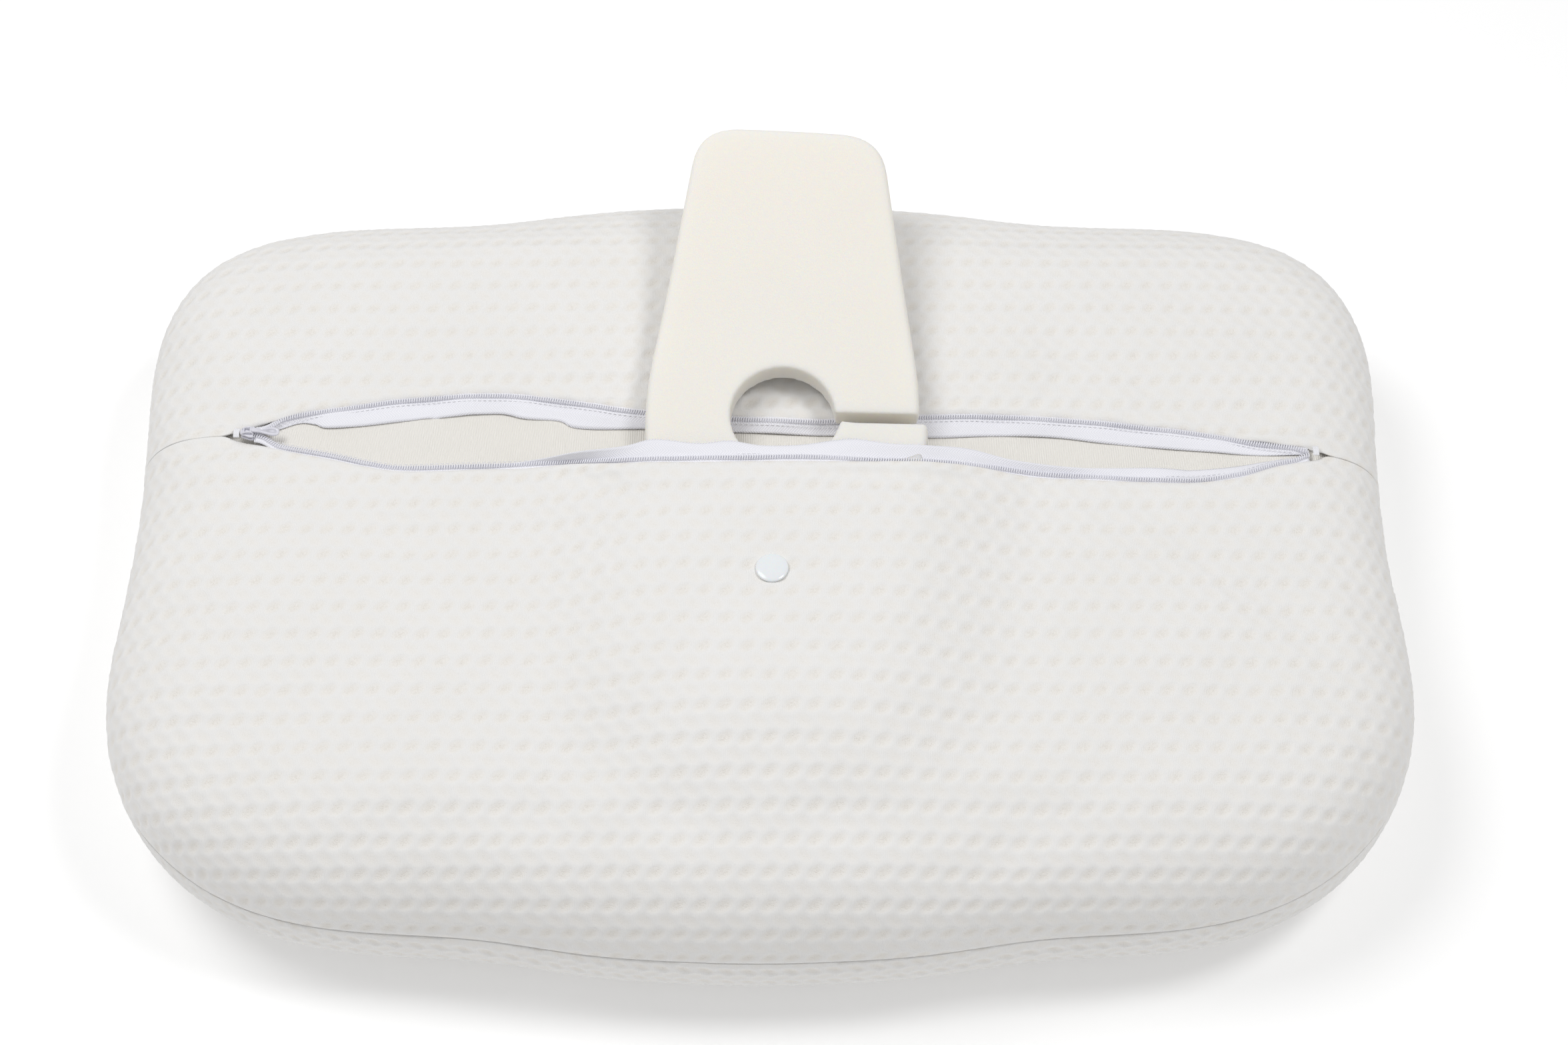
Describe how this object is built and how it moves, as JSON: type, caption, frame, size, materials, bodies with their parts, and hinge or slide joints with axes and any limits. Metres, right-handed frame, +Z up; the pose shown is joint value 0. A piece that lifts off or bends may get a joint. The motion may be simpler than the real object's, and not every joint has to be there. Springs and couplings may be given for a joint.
{
  "type": "butterfly foam pillow",
  "caption": "Butterfly-outline contoured foam pillow in a zipped knit cover, with a removable foam height layer half pulled out of the open zip.",
  "frame": {"origin": "middle of the footprint at floor level, with the pillow lying on its sleeping side and its flat zipped side up", "axes": "+Z up out of the zipped side; +X along the pillow's width, from the zip's slider to its far end; +Y across the pillow, the way the height layer is pulled out"},
  "size_m": [0.6, 0.414, 0.1442],
  "materials": {
    "foam": "matte moulded memory foam",
    "layer_foam": "matte foam with a fine open grain",
    "liner_jersey": "matte ribbed jersey",
    "cover_knit": "matte knit with small leaf-shaped hollows",
    "zip_tape": "matte woven tape",
    "zip_coil": "satin nylon coil",
    "slider_enamel": "glossy enamel on die-cast metal",
    "snap_plastic": "glossy"
  },
  "bodies": {
    "pillow": {"core_foam": "foam", "liner_upper": "liner_jersey", "liner_lower": "liner_jersey", "cover_front_panel": "cover_knit", "cover_back_panel": "cover_knit", "cover_sleeping_panel": "cover_knit", "zip_tape_back": "zip_tape", "zip_tape_front": "zip_tape", "zip_coil_back": "zip_coil", "zip_coil_front": "zip_coil", "zip_tack_left": "zip_tape", "zip_tack_right": "zip_tape", "snap_cap": "snap_plastic", "snap_socket": "snap_plastic", "snap_stud": "snap_plastic", "snap_stud_plate": "snap_plastic"},
    "slider": {"zip_slider": "slider_enamel"},
    "tab": {"zip_pull_tab": "slider_enamel"},
    "layer_inside": {"height_layer_tail": "layer_foam"},
    "layer_outside": {"height_layer_flap": "layer_foam"}
  },
  "joints": [
    {"name": "zip_slide", "type": "slide", "parent": "pillow", "child": "slider", "axis": [0.9998, -0.0203, 0], "range_m": [0, 0.155]},
    {"name": "tab_turn", "type": "hinge", "parent": "slider", "child": "tab", "pos_m": [-0.2375, 0.04403, 0.099], "axis": [-0.0203, -0.9998, 0], "range_deg": [0, 150]},
    {"name": "layer_pull", "type": "slide", "parent": "pillow", "child": "layer_inside", "axis": [0.0279, 0.9996, 0], "range_m": [0, 0.12], "deforming": ["height_layer_tail"]},
    {"name": "layer_fold", "type": "hinge", "parent": "layer_inside", "child": "layer_outside", "pos_m": [0.00965, 0.02929, 0.11147], "axis": [0.9996, -0.0279, 0], "range_deg": [0, 75]}
  ]
}
